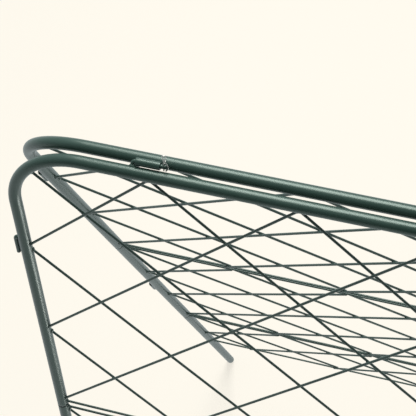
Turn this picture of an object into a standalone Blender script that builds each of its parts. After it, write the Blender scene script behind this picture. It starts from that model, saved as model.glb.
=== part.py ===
"""Folding A-frame garden trellis of steel tube and welded wire.

Two like panels lean on each other and are hinged along their top bars. Each panel is three sections
that push together: a hoop, a middle section and a bottom section, every one with its own welded net of
diamonds. Metres, +Z up, origin on the ground under the middle of the hinge line. A panel is modelled
upright in its own frame, whose origin lies on the hinge line, and is then leaned and turned by its
parent empty. In that frame X runs along the top bar, -Y faces outwards and -Z runs down the legs.
"""

from math import atan2, ceil, cos, pi, radians, sin, sqrt

import bmesh
import bpy
from mathutils import Vector

# Driving sizes of the frame
TUBE_DIAMETER = 0.016
TUBE_WALL = 0.0011
BEND_RADIUS = 0.098
LEAN_ANGLE = radians(12.75)
STUB_LENGTH = 0.264

# Driving sizes of the wire nets
WIRE_DIAMETER = 0.0035
MESH_PITCH = 0.180
DIAMONDS_ACROSS = 5
TOP_ROWS = 3
MIDDLE_ROWS = 3
BOTTOM_ROWS = 1.5
EDGE_WIRE_DROP = 0.003
SECTION_SPACING = 0.020
WELD_SINK = 0.0004

# Driving sizes of the slip joints and the feet
SPIGOT_LENGTH = 0.040
SWAGE_LENGTH = 0.004
FOOT_SHANK_LENGTH = 0.014

# Driving sizes of the hinge
HINGE_PIN_DIAMETER = 0.005
HINGE_SLEEVE_DIAMETER = 0.010
HINGE_SLEEVE_LENGTH = 0.030
HINGE_REACH = 0.0115
PIN_BEND_RADIUS = 0.0029
PIN_FREE_END = 0.007
PIN_END_PLAY = 0.0006
SADDLE_LENGTH = 0.022
SADDLE_WIDTH = 0.0052

# Driving sizes of the R clip
CLIP_WIRE_DIAMETER = 0.0016
CLIP_LOOP_RADIUS = 0.0023
CLIP_LOOP_HEIGHT = 0.0148
CLIP_WAVE_REACH = 0.0066
CLIP_TAIL = 0.0062
CLIP_NECK = 0.0044
CLIP_NECK_ANGLE = radians(66)
CLIP_BELLY_ROOM = 0.0010
CLIP_TILT = radians(5)

# Driving sizes of the side hooks and sleeves
SIDE_PIN_DIAMETER = 0.0055
SIDE_SLEEVE_DIAMETER = 0.0086
SIDE_SLEEVE_WALL = 0.0008
SIDE_SLEEVE_LENGTH = 0.030
HOOK_LENGTH = 0.034
HOOK_BEND_RADIUS = 0.0038
UPPER_SIDE_DEPTH = 0.1865
LOWER_SIDE_DEPTH = 0.872

# Clearances
TOUCH_GAP = 0.0003
FOLD_GAP = 0.0004
PIN_CLEARANCE = 0.0004

# Facets round each kind of round piece
TUBE_SIDES = 16
WIRE_SIDES = 8
SLEEVE_SIDES = 16
PIN_SIDES = 12
CLIP_SIDES = 8
CORNER_STEPS = 6
SMALL_BEND_STEPS = 5
CLIP_STEPS = 10
DOME_STEPS = 4
SHARP_ANGLE = radians(40)

# Worked out from the sizes above
TUBE_RADIUS = TUBE_DIAMETER / 2
BORE_RADIUS = TUBE_RADIUS - TUBE_WALL
WIRE_RADIUS = WIRE_DIAMETER / 2
LAYER_OFFSET = WIRE_RADIUS - WELD_SINK / 2
PANEL_WIDTH = DIAMONDS_ACROSS * MESH_PITCH
HALF_WIDTH = PANEL_WIDTH / 2
BAR_CLEAR = TUBE_RADIUS + TOUCH_GAP
SPIGOT_RADIUS = BORE_RADIUS * cos(pi / TUBE_SIDES) - TOUCH_GAP
SPIGOT_BORE = SPIGOT_RADIUS - TUBE_WALL
PLANE_Y = -(TUBE_RADIUS + FOLD_GAP / 2)
BAR_Z = -HINGE_REACH
HINGE_X = HALF_WIDTH - MESH_PITCH
BAR_DISTANCE = sqrt(PLANE_Y ** 2 + HINGE_REACH ** 2)
HINGE_PIN_RADIUS = HINGE_PIN_DIAMETER / 2
HINGE_BORE = (HINGE_PIN_RADIUS + PIN_CLEARANCE) / cos(pi / SLEEVE_SIDES)
HINGE_SLEEVE_END = HINGE_SLEEVE_LENGTH / 2 + TOUCH_GAP
CLIP_X = -HINGE_X + HINGE_SLEEVE_END + PIN_FREE_END / 2
SIDE_PIN_RADIUS = SIDE_PIN_DIAMETER / 2
SIDE_BORE = SIDE_SLEEVE_DIAMETER / 2 - SIDE_SLEEVE_WALL
SIDE_OFFSET = BAR_CLEAR + SIDE_SLEEVE_DIAMETER / 2

# Depths below the top bar's centre line
TOP_NET_START = TUBE_RADIUS
TOP_NET_END = TOP_NET_START + TOP_ROWS * MESH_PITCH
MIDDLE_NET_START = TOP_NET_END + SECTION_SPACING
MIDDLE_NET_END = MIDDLE_NET_START + MIDDLE_ROWS * MESH_PITCH
BOTTOM_NET_START = MIDDLE_NET_END + SECTION_SPACING
BOTTOM_NET_END = BOTTOM_NET_START + BOTTOM_ROWS * MESH_PITCH
UPPER_JOINT = TOP_NET_END + SECTION_SPACING / 2
LOWER_JOINT = MIDDLE_NET_END + SECTION_SPACING / 2
FOOT_CENTRE = BOTTOM_NET_END + EDGE_WIRE_DROP + STUB_LENGTH - TUBE_RADIUS
FOOT_DROP = (HINGE_REACH + FOOT_CENTRE) * cos(LEAN_ANGLE) + PLANE_Y * sin(LEAN_ANGLE)
HINGE_HEIGHT = TUBE_RADIUS + FOOT_DROP

GREEN_PAINT = ((0.045, 0.085, 0.068, 1.0), 0.32, 0.0)
GREEN_WIRE = ((0.030, 0.062, 0.052, 1.0), 0.36, 0.0)
SPRING_STEEL = ((0.62, 0.60, 0.55, 1.0), 0.28, 1.0)


def clear_scene():
    """Remove every object that the scene holds."""
    for item in list(bpy.data.objects):
        bpy.data.objects.remove(item, do_unlink=True)


def make_material(name, look):
    """A Principled material with a base colour, a roughness and a metallic value."""
    colour, roughness, metallic = look
    material = bpy.data.materials.new(name)
    material.use_nodes = True
    shader = material.node_tree.nodes["Principled BSDF"]
    shader.inputs["Base Color"].default_value = colour
    shader.inputs["Roughness"].default_value = roughness
    shader.inputs["Metallic"].default_value = metallic
    return material


def finish_mesh(bm, name):
    """Turn a bmesh into a mesh with outward faces, smooth sides and sharp rims."""
    bmesh.ops.recalc_face_normals(bm, faces=bm.faces)
    mesh = bpy.data.meshes.new(name)
    bm.to_mesh(mesh)
    bm.free()
    mesh.shade_smooth()
    mesh.set_sharp_from_angle(angle=SHARP_ANGLE)
    return mesh


def place(name, mesh, panel, location, look=None):
    """Link a mesh as one named object of a panel."""
    item = bpy.data.objects.new(name, mesh)
    bpy.context.scene.collection.objects.link(item)
    item.parent = panel
    item.location = location
    if look is not None:
        mesh.materials.clear()
        mesh.materials.append(make_material(name, look))
    return item


def hide_cutter(item):
    """Mark an object as a guide that only shapes another one."""
    item.hide_render = True
    item.display_type = "WIRE"
    return item


def combine(item, other, operation):
    """Join another object to this one, or cut it away."""
    modifier = item.modifiers.new(operation.lower(), "BOOLEAN")
    modifier.operation = operation
    modifier.solver = "EXACT"
    modifier.object = other


def bridge(bm, rings, closed):
    """Skin neighbouring rings of points with quads."""
    pairs = list(zip(rings, rings[1:]))
    if closed:
        pairs.append((rings[-1], rings[0]))
    for first, second in pairs:
        count = len(first)
        for i in range(count):
            j = (i + 1) % count
            bm.faces.new((first[i], first[j], second[j], second[i]))


def ring(bm, centre, across, up, radius, sides):
    """A circle of points round a centre, in the plane of two unit vectors."""
    points = []
    for i in range(sides):
        angle = 2 * pi * i / sides
        points.append(bm.verts.new(centre + radius * (cos(angle) * across + sin(angle) * up)))
    return points


def sweep(name, stations, normal, radius, sides, bore=None):
    """A round rod or tube along a flat path.

    Each station is a point and the path's direction there, and normal stands square to the path's
    plane. With a bore the rod is a tube that is open at both ends.
    """
    bm = bmesh.new()
    outer = []
    inner = []
    for point, direction in stations:
        across = normal.cross(direction).normalized()
        outer.append(ring(bm, point, across, normal, radius, sides))
        if bore:
            inner.append(ring(bm, point, across, normal, bore, sides))
    if bore:
        bridge(bm, outer + inner[::-1], closed=True)
    else:
        bridge(bm, outer, closed=False)
        bm.faces.new(outer[0])
        bm.faces.new(outer[-1])
    return finish_mesh(bm, name)


def arc(centre, start, turn, radius, steps, to_xz):
    """Stations round an arc in a flat plane, from angle start through a turn, either way round."""
    stations = []
    way = 1 if turn > 0 else -1
    for i in range(steps + 1):
        angle = start + turn * i / steps
        point = (centre[0] + radius * cos(angle), centre[1] + radius * sin(angle))
        direction = (-sin(angle) * way, cos(angle) * way)
        stations.append((to_xz(*point), to_xz(*direction)))
    return stations


def upright(x, z):
    """A vector in the panel's own plane."""
    return Vector((x, 0.0, z))


def turned(name, profile, sides):
    """A body turned about Z from a closed outline of (radius, z) points; a radius of 0 is a pole."""
    bm = bmesh.new()
    loops = []
    for radius, z in profile:
        if radius == 0:
            loops.append([bm.verts.new((0.0, 0.0, z))])
        else:
            loops.append(ring(bm, Vector((0, 0, z)), Vector((0, 1, 0)), Vector((-1, 0, 0)), radius, sides))
    for first, second in zip(loops, loops[1:] + loops[:1]):
        if len(first) == 1 and len(second) == 1:
            continue
        for i in range(sides):
            j = (i + 1) % sides
            if len(first) == 1:
                bm.faces.new((first[0], second[j], second[i]))
            elif len(second) == 1:
                bm.faces.new((first[i], first[j], second[0]))
            else:
                bm.faces.new((first[i], first[j], second[j], second[i]))
    return finish_mesh(bm, name)


def cylinder(name, start, end, radius, sides):
    """A plain closed cylinder between two points."""
    axis = (end - start).normalized()
    normal = axis.orthogonal().normalized()
    return sweep(name, [(start, axis), (end, axis)], normal, radius, sides)


def hoop_mesh(name):
    """The top tube: up one leg, round a corner, along the bar, round again and down the other leg."""
    inner_x = HALF_WIDTH - BEND_RADIUS
    left = arc((-inner_x, -BEND_RADIUS), pi, -pi / 2, BEND_RADIUS, CORNER_STEPS, upright)
    right = arc((inner_x, -BEND_RADIUS), pi / 2, -pi / 2, BEND_RADIUS, CORNER_STEPS, upright)
    start = (upright(-HALF_WIDTH, -UPPER_JOINT), upright(0, 1))
    end = (upright(HALF_WIDTH, -UPPER_JOINT), upright(0, -1))
    stations = [start] + left + right + [end]
    return sweep(name, stations, Vector((0, 1, 0)), TUBE_RADIUS, TUBE_SIDES, BORE_RADIUS)


def leg_mesh(name, length):
    """A leg tube, origin at its shoulder: a narrowed spigot above it and a plain open tube below."""
    swage_drop = (TUBE_RADIUS - SPIGOT_RADIUS) / 2
    chamfer = TUBE_WALL / 2
    profile = [
        (TUBE_RADIUS, -length),
        (TUBE_RADIUS, -TOUCH_GAP - swage_drop),
        (TUBE_RADIUS - swage_drop, -TOUCH_GAP),
        (SPIGOT_RADIUS, -TOUCH_GAP),
        (SPIGOT_RADIUS, SPIGOT_LENGTH - chamfer),
        (SPIGOT_RADIUS - chamfer, SPIGOT_LENGTH),
        (SPIGOT_BORE, SPIGOT_LENGTH),
        (SPIGOT_BORE, -TOUCH_GAP),
        (BORE_RADIUS, -TOUCH_GAP - SWAGE_LENGTH),
        (BORE_RADIUS, -length),
    ]
    return turned(name, profile, TUBE_SIDES)


def foot_mesh(name):
    """A domed end cap, origin at the dome's centre, with a shank that sits in the leg's bore."""
    profile = [(0, -TUBE_RADIUS)]
    for i in range(DOME_STEPS + 1):
        angle = LEAN_ANGLE + (pi / 2 - LEAN_ANGLE) * i / DOME_STEPS
        profile.append((TUBE_RADIUS * sin(angle), -TUBE_RADIUS * cos(angle)))
    profile.append((SPIGOT_RADIUS, 0))
    profile.append((SPIGOT_RADIUS, FOOT_SHANK_LENGTH))
    profile.append((0, FOOT_SHANK_LENGTH))
    return turned(name, profile, TUBE_SIDES)


def cut_wire(bm, start, start_normal, end, end_normal):
    """A round wire between two points, each end cut off by a plane through its point."""
    axis = (end - start).normalized()
    side = axis.cross(Vector((0, 1, 0))).normalized()
    rings = []
    for point, normal in ((start, start_normal), (end, end_normal)):
        points = []
        for i in range(WIRE_SIDES):
            angle = 2 * pi * i / WIRE_SIDES
            spoke = WIRE_RADIUS * (cos(angle) * Vector((0, 1, 0)) + sin(angle) * side)
            slide = -spoke.dot(normal) / axis.dot(normal)
            points.append(bm.verts.new(point + spoke + slide * axis))
        rings.append(points)
    bridge(bm, rings, closed=False)
    bm.faces.new(rings[0])
    bm.faces.new(rings[1])


def corner_entry(start, end, corner_x):
    """Where a wire that runs into the hoop's round corner meets the inside of the bend."""
    centre = Vector((corner_x, 0, -BEND_RADIUS))
    facet_middle = cos(pi / (4 * CORNER_STEPS))
    reach = (BEND_RADIUS - TUBE_RADIUS) * facet_middle - TOUCH_GAP - WIRE_RADIUS ** 2 / BEND_RADIUS
    axis = (end - start).normalized()
    offset = Vector((start.x, 0, start.z)) - centre
    middle = -offset.dot(axis)
    half_chord = sqrt(reach ** 2 - offset.length_squared + middle ** 2)
    entry = start + (middle - half_chord) * axis
    return entry, (Vector((entry.x, 0, entry.z)) - centre).normalized()


def wire_ends(u0, v0, u1, v1, start_depth, layer_y, hoop_section):
    """The two cut ends of a slanted wire, given in pitches across and down from the net's corner.

    Ends at a leg stop just short of its wall. Ends at a cross wire run into that wire, and ends at
    the top bar or in a round corner stop just short of the tube.
    """
    ends = []
    corners = [(u0, v0), (u1, v1)]
    points = []
    for u, v in corners:
        points.append(Vector((u * MESH_PITCH - HALF_WIDTH, layer_y, -start_depth - v * MESH_PITCH)))
    axis = (points[1] - points[0]).normalized()
    run_over = EDGE_WIRE_DROP + WIRE_RADIUS / 2
    for (u, v), point, inward, far in zip(corners, points, (axis, -axis), points[::-1]):
        at_leg = u in (0, DIAMONDS_ACROSS)
        if v == 0 and at_leg and hoop_section:
            side = -1 if u == 0 else 1
            ends.append(corner_entry(point, far, side * (HALF_WIDTH - BEND_RADIUS)))
        elif at_leg:
            ends.append((point + inward * (BAR_CLEAR / abs(axis.x)), Vector((1, 0, 0))))
        elif v == 0 and hoop_section:
            ends.append((point + inward * (TOUCH_GAP / abs(axis.z)), Vector((0, 0, 1))))
        else:
            ends.append((point - inward * (run_over / abs(axis.z)), Vector((0, 0, 1))))
    return ends


def slanted_wires(rows, rising):
    """The ends of one family of slanted wires in pitches, across and down from the net's corner."""
    wires = []
    if rising:
        for m in range(1, ceil(DIAMONDS_ACROSS + rows)):
            start = (0, m) if m <= rows else (m - rows, rows)
            end = (m, 0) if m <= DIAMONDS_ACROSS else (DIAMONDS_ACROSS, m - DIAMONDS_ACROSS)
            wires.append((*start, *end))
    else:
        for k in range(1 - ceil(rows), DIAMONDS_ACROSS):
            start = (k, 0) if k >= 0 else (0, -k)
            reaches_foot = k + rows <= DIAMONDS_ACROSS
            end = (k + rows, rows) if reaches_foot else (DIAMONDS_ACROSS, DIAMONDS_ACROSS - k)
            wires.append((*start, *end))
    return wires


def add_net(name, panel, rows, start_depth, hoop_section):
    """A welded net: rising wires in front, falling wires behind them and cross wires between."""
    families = []
    for rising, layer_y in ((True, -LAYER_OFFSET), (False, LAYER_OFFSET)):
        bm = bmesh.new()
        for u0, v0, u1, v1 in slanted_wires(rows, rising):
            (start, start_cut), (end, end_cut) = wire_ends(u0, v0, u1, v1, start_depth, layer_y, hoop_section)
            cut_wire(bm, start, start_cut, end, end_cut)
        families.append(finish_mesh(bm, name))

    bm = bmesh.new()
    foot_depth = start_depth + rows * MESH_PITCH + EDGE_WIRE_DROP
    head_depth = start_depth - EDGE_WIRE_DROP
    depths = [foot_depth] if hoop_section else [head_depth, foot_depth]
    for depth in depths:
        start = upright(-HALF_WIDTH + BAR_CLEAR, -depth)
        end = upright(HALF_WIDTH - BAR_CLEAR, -depth)
        cut_wire(bm, start, Vector((1, 0, 0)), end, Vector((1, 0, 0)))
    cross_wires = finish_mesh(bm, name + "_cross")

    spot = (0, PLANE_Y, BAR_Z)
    net = place(name, families[0], panel, spot, GREEN_WIRE)
    combine(net, hide_cutter(place(name + "_falling", families[1], panel, spot)), "UNION")
    combine(net, hide_cutter(place(name + "_cross", cross_wires, panel, spot)), "UNION")


def add_frame(name, panel):
    """The hoop, the four leg tubes and the two feet."""
    place(name + "_hoop", hoop_mesh(name + "_hoop"), panel, (0, PLANE_Y, BAR_Z), GREEN_PAINT)
    middle_length = LOWER_JOINT - UPPER_JOINT
    bottom_length = FOOT_CENTRE - LOWER_JOINT - TOUCH_GAP
    for side, x in (("left", -HALF_WIDTH), ("right", HALF_WIDTH)):
        middle = f"{name}_middle_leg_{side}"
        place(middle, leg_mesh(middle, middle_length), panel, (x, PLANE_Y, BAR_Z - UPPER_JOINT), GREEN_PAINT)
        bottom = f"{name}_bottom_leg_{side}"
        place(bottom, leg_mesh(bottom, bottom_length), panel, (x, PLANE_Y, BAR_Z - LOWER_JOINT), GREEN_PAINT)
        foot = f"{name}_foot_{side}"
        place(foot, foot_mesh(foot), panel, (x, PLANE_Y, BAR_Z - FOOT_CENTRE), GREEN_PAINT)


def add_hinge_sleeve(name, panel):
    """A bored sleeve on the hinge line, on a welded saddle that is hollowed to the top bar."""
    spot = (HINGE_X, 0, 0)
    half = HINGE_SLEEVE_LENGTH / 2
    along = Vector((half, 0, 0))
    body = cylinder(name, -along, along, HINGE_SLEEVE_DIAMETER / 2, SLEEVE_SIDES)
    sleeve = place(name, body, panel, spot, GREEN_PAINT)

    bm = bmesh.new()
    bmesh.ops.create_cube(bm, size=1.0)
    bmesh.ops.scale(bm, vec=(SADDLE_LENGTH, SADDLE_WIDTH, BAR_DISTANCE), verts=bm.verts)
    bmesh.ops.translate(bm, vec=(0, 0, -BAR_DISTANCE / 2), verts=bm.verts)
    saddle = hide_cutter(place(name + "_saddle", finish_mesh(bm, name + "_saddle"), panel, spot))
    saddle.rotation_euler = (-atan2(-PLANE_Y, HINGE_REACH), 0, 0)
    combine(sleeve, saddle, "UNION")

    reach = Vector((HINGE_SLEEVE_LENGTH, 0, 0))
    bore = cylinder(name + "_bore", -reach, reach, HINGE_BORE, SLEEVE_SIDES)
    combine(sleeve, hide_cutter(place(name + "_bore", bore, panel, spot)), "DIFFERENCE")
    seat = cylinder(name + "_seat", -reach, reach, BAR_CLEAR / cos(pi / TUBE_SIDES), TUBE_SIDES)
    combine(sleeve, hide_cutter(place(name + "_seat", seat, panel, (HINGE_X, PLANE_Y, BAR_Z))), "DIFFERENCE")


def add_hinge_pin(name, panel):
    """An L of round rod: welded on the top bar, bent onto the hinge line and drilled near its tip."""
    down = Vector((0, PLANE_Y, BAR_Z)).normalized()

    def folded(x, drop):
        return Vector((x, 0, 0)) + drop * down

    bend_x = -HINGE_SLEEVE_END - PIN_END_PLAY
    bend = arc((bend_x, PIN_BEND_RADIUS), pi, pi / 2, PIN_BEND_RADIUS, SMALL_BEND_STEPS, folded)
    foot = (folded(bend_x - PIN_BEND_RADIUS, BAR_DISTANCE - BAR_CLEAR), -down)
    tip = (Vector((HINGE_SLEEVE_END + PIN_FREE_END, 0, 0)), Vector((1, 0, 0)))
    normal = Vector((1, 0, 0)).cross(down).normalized()
    body = sweep(name, [foot] + bend + [tip], normal, HINGE_PIN_RADIUS, PIN_SIDES)
    pin = place(name, body, panel, (-HINGE_X, 0, 0), GREEN_PAINT)

    hole_axis = Vector((0, sin(CLIP_TILT), cos(CLIP_TILT))) * HINGE_PIN_DIAMETER
    hole_radius = (CLIP_WIRE_DIAMETER / 2 + TOUCH_GAP) / cos(pi / CLIP_SIDES)
    drill = cylinder(name + "_hole", -hole_axis, hole_axis, hole_radius, CLIP_SIDES)
    combine(pin, hide_cutter(place(name + "_hole", drill, panel, (CLIP_X, 0, 0))), "DIFFERENCE")


def clip_wave(height):
    """How far the clip's curved leg stands off its straight leg at a height above the pin's axis."""
    pinch = CLIP_WIRE_DIAMETER + TOUCH_GAP
    belly = PIN_FREE_END / 2 + CLIP_WIRE_DIAMETER / 2 + TOUCH_GAP + CLIP_BELLY_ROOM
    share = min(abs(height) / CLIP_WAVE_REACH, 1.0)
    return pinch + (belly - pinch) * sqrt((1 + cos(pi * share)) / 2)


def add_clip(name, panel):
    """An R clip: a straight leg through the pin, a loop above it and a wavy leg round the pin's tip."""
    up = Vector((0, sin(CLIP_TILT), cos(CLIP_TILT)))

    def flat(x, height):
        return Vector((x, 0, 0)) + height * up

    loop_centre = (clip_wave(CLIP_LOOP_HEIGHT) / 2, CLIP_LOOP_HEIGHT)
    first_angle = -(pi + CLIP_NECK_ANGLE) / 2
    loop = arc(loop_centre, first_angle, CLIP_NECK_ANGLE - 2 * pi, CLIP_LOOP_RADIUS, CLIP_STEPS, flat)
    neck_height = CLIP_LOOP_HEIGHT - CLIP_NECK
    points = [flat(0, -CLIP_TAIL), flat(0, neck_height)]
    points += [point for point, _ in loop]
    for i in range(CLIP_STEPS + 1):
        height = neck_height - (neck_height + CLIP_TAIL) * i / CLIP_STEPS
        points.append(flat(clip_wave(height), height))

    stations = []
    for i, point in enumerate(points):
        before = points[max(i - 1, 0)]
        after = points[min(i + 1, len(points) - 1)]
        stations.append((point, (after - before).normalized()))
    normal = Vector((1, 0, 0)).cross(up).normalized()
    body = sweep(name, stations, normal, CLIP_WIRE_DIAMETER / 2, CLIP_SIDES)
    place(name, body, panel, (CLIP_X, 0, 0), SPRING_STEEL)


def add_side_hook(name, panel, depth):
    """A short rod welded square to the left leg and bent down, so that it hangs in a sleeve."""
    arm_z = HOOK_LENGTH / 2 - SIDE_PIN_RADIUS
    tip_z = -HOOK_LENGTH / 2
    centre = (-(SIDE_OFFSET - HOOK_BEND_RADIUS), arm_z - HOOK_BEND_RADIUS)
    bend = arc(centre, pi / 2, pi / 2, HOOK_BEND_RADIUS, SMALL_BEND_STEPS, upright)
    start = (upright(-BAR_CLEAR, arm_z), upright(-1, 0))
    tip = (upright(-SIDE_OFFSET, tip_z), upright(0, -1))
    body = sweep(name, [start] + bend + [tip], Vector((0, 1, 0)), SIDE_PIN_RADIUS, PIN_SIDES)
    place(name, body, panel, (-HALF_WIDTH, PLANE_Y, BAR_Z - depth), GREEN_PAINT)


def add_side_sleeve(name, panel, depth):
    """A short open tube on the right leg, at the height of the hooks on the other leg."""
    top = HOOK_LENGTH / 2 - SIDE_PIN_DIAMETER - TOUCH_GAP
    stations = [(upright(0, top - SIDE_SLEEVE_LENGTH), upright(0, 1)), (upright(0, top), upright(0, 1))]
    body = sweep(name, stations, Vector((0, 1, 0)), SIDE_SLEEVE_DIAMETER / 2, SLEEVE_SIDES, SIDE_BORE)
    place(name, body, panel, (HALF_WIDTH + SIDE_OFFSET, PLANE_Y, BAR_Z - depth), GREEN_PAINT)


def add_panel(name, turn):
    """One whole panel, hung on its parent empty on the hinge line."""
    panel = bpy.data.objects.new(name + "_panel", None)
    bpy.context.scene.collection.objects.link(panel)
    panel.location = (0, 0, HINGE_HEIGHT)
    panel.rotation_euler = (-LEAN_ANGLE, 0, turn)

    add_frame(name, panel)
    add_net(name + "_top_net", panel, TOP_ROWS, TOP_NET_START, True)
    add_net(name + "_middle_net", panel, MIDDLE_ROWS, MIDDLE_NET_START, False)
    add_net(name + "_bottom_net", panel, BOTTOM_ROWS, BOTTOM_NET_START, False)
    add_hinge_sleeve(name + "_hinge_sleeve", panel)
    add_hinge_pin(name + "_hinge_pin", panel)
    add_clip(name + "_clip", panel)
    for level, depth in (("upper", UPPER_SIDE_DEPTH), ("lower", LOWER_SIDE_DEPTH)):
        add_side_hook(f"{name}_{level}_hook", panel, depth)
        add_side_sleeve(f"{name}_{level}_sleeve", panel, depth)


clear_scene()
add_panel("front", 0.0)
add_panel("rear", pi)
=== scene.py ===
"""The looks of a folding A-frame garden trellis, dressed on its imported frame.

Two like panels of powder-coated steel tube lean on each other and are hinged along their top bars.
Each panel is a hoop, a middle section and a bottom section, with a welded wire net in every section.
"""

import math

import bpy
import numpy as np
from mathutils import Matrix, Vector


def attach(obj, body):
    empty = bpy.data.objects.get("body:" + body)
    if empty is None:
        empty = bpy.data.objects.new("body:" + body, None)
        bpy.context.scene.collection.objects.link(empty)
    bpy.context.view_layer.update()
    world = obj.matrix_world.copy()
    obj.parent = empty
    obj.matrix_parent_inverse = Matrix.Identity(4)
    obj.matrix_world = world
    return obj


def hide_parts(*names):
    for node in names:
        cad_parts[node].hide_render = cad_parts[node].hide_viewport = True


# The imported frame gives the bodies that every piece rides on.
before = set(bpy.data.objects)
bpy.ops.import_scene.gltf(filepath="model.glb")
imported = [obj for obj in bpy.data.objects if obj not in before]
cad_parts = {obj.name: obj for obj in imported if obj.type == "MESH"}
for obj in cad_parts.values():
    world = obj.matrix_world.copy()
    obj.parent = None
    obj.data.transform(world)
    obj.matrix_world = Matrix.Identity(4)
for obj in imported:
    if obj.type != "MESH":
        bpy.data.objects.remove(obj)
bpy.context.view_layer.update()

# The two panels: each is worked out upright, with its origin on the hinge line, X along the top bar,
# -Y outwards and -Z down the legs. It is then leaned and, for the rear one, turned half round.
LEAN = math.radians(12.75)
HINGE_HEIGHT = 1.633549
SIDES = {"front": 1.0, "rear": -1.0}


def into_place(points, side):
    """Leans panel points about X by the lean angle, lifts them to the hinge and turns the rear panel."""
    x, y, z = np.moveaxis(np.asarray(points, float), -1, 0)
    leaned_y = y * math.cos(LEAN) + z * math.sin(LEAN)
    leaned_z = -y * math.sin(LEAN) + z * math.cos(LEAN) + HINGE_HEIGHT
    turn = SIDES[side]
    return np.stack([turn * x, turn * leaned_y, leaned_z], axis=-1)


# The camera stands in front of the near panel and looks steeply down on the left end of the top bars.
# A long lens a good metre and a half away fills the square frame with the first rows of diamonds.
CAMERA_SPOT = (0.1869, -0.7272, 3.0682)
CAMERA_TILT = (27.886, 6.594, 16.250)
CAMERA_LENS = 125.49

camera = bpy.data.objects.new("camera", bpy.data.cameras.new("camera"))
bpy.context.scene.collection.objects.link(camera)
camera.location = CAMERA_SPOT
camera.rotation_euler = [math.radians(angle) for angle in CAMERA_TILT]
camera.data.lens = CAMERA_LENS
camera.data.sensor_width = 36.0
camera.data.clip_start = 0.05
bpy.context.scene.camera = camera


# Every finish is a node tree. A Signal is one socket in it, and arithmetic on those that carry a
# number adds the Math nodes, so a formula reads as it would on paper.
class Signal:
    """One socket of a node tree, with the operators that the finishes use on numbers."""

    def __init__(self, finish, socket):
        self.finish = finish
        self.socket = socket

    def math(self, operation, first, second):
        """A Math node over two signals or plain numbers."""
        return self.finish.node("ShaderNodeMath", {"operation": operation}, {0: first, 1: second})

    def __add__(self, other):
        return self.math("ADD", self, other)

    def __radd__(self, other):
        return self.math("ADD", other, self)

    def __sub__(self, other):
        return self.math("SUBTRACT", self, other)

    def __rsub__(self, other):
        return self.math("SUBTRACT", other, self)

    def __mul__(self, other):
        return self.math("MULTIPLY", self, other)

    def __rmul__(self, other):
        return self.math("MULTIPLY", other, self)

    def clamp(self):
        """The number held between 0 and 1."""
        return self.finish.node("ShaderNodeClamp", {}, {"Value": self})

    def ramp(self, low, high):
        """0 below low, 1 above high and a smooth rise between them."""
        steps = {"From Min": low, "From Max": high, "To Min": 0.0, "To Max": 1.0, "Value": self}
        return self.finish.node("ShaderNodeMapRange", {"interpolation_type": "SMOOTHSTEP"}, steps)


class Finish:
    """A material made of nodes round one Principled shader."""

    def __init__(self, name, **constants):
        self.material = bpy.data.materials.new(name)
        self.material.use_nodes = True
        self.tree = self.material.node_tree
        self.shader = self.tree.nodes["Principled BSDF"]
        for socket, value in constants.items():
            self.shader.inputs[socket.replace("_", " ")].default_value = value

    def node(self, kind, settings, sockets, output=0):
        """Adds a node: its settings first, then values or links into its sockets."""
        node = self.tree.nodes.new(kind)
        for setting, value in settings.items():
            setattr(node, setting, value)
        for socket, value in sockets.items():
            if isinstance(value, Signal):
                self.tree.links.new(value.socket, node.inputs[socket])
            else:
                node.inputs[socket].default_value = value
        return Signal(self, node.outputs[output])

    def feed(self, socket, signal):
        """Links a signal into one of the shader's own sockets."""
        self.tree.links.new(signal.socket, self.shader.inputs[socket])

    def noise(self, scale, detail, where=None):
        """Cloud noise from 0 to 1, on the object's own coordinates unless told otherwise."""
        where = where or self.node("ShaderNodeTexCoord", {}, {}, "Object")
        return self.node("ShaderNodeTexNoise", {}, {"Vector": where, "Scale": scale, "Detail": detail})

    def mark(self, name):
        """A number that the mesh carries at each point."""
        return self.node("ShaderNodeAttribute", {"attribute_name": name}, {}, "Fac")

    def mix(self, amount, first, second):
        """A colour between two colours."""
        return self.node("ShaderNodeMix", {"data_type": "RGBA"}, {0: amount, 6: first, 7: second}, 2)

    def bump(self, height, distance, strength, under=None):
        """A relief of a real height in metres, over another relief if there is one."""
        sockets = {"Height": height, "Distance": distance, "Strength": strength}
        if under:
            sockets["Normal"] = under
        return self.node("ShaderNodeBump", {}, sockets)


# The studio: a pale warm floor and a long soft box behind and above the trellis, which draws the
# highlight on the upper side of every tube. A small box low on the right lights the legs' edges, with
# a grid that keeps its light off the floor. The room is a plain shell that is dim in front, behind the
# camera, and paler at the back and left. The coat mirrors the floor a little cooler than it looks.
CREAM = (1.0, 0.948, 0.850, 1.0)
COOL_WHITE = (0.91, 0.98, 1.0, 1.0)
FLOOR_SIZE = 60.0
WHITE_SHARE = 0.74
ROOM_FRONT = (0.095, 0.118, 0.115, 1.0)
ROOM_BACK = (0.58, 0.64, 0.67, 1.0)
PALE_SIDE = (-0.50, 0.87, 0.0)
SHADE_REACH = 0.75
LAMP_WHITE = (1.0, 0.99, 0.97)
SOFT_BOX_SPOT = (-0.50, 1.55, 3.85)
SOFT_BOX_AIM = (-0.10, 0.0, 1.55)
SOFT_BOX_SIZE = (1.2, 2.2)
SOFT_BOX_WATTS = 122.0
SOFT_BOX_SPREAD = 180.0
LOW_BOX_SPOT = (0.74, -0.44, 0.10)
LOW_BOX_AIM = (-0.45, -0.06, 1.40)
LOW_BOX_SIZE = (0.8, 0.6)
LOW_BOX_WATTS = 3.8
LOW_BOX_SPREAD = 84.0

bpy.context.scene.view_settings.view_transform = "Standard"

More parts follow.
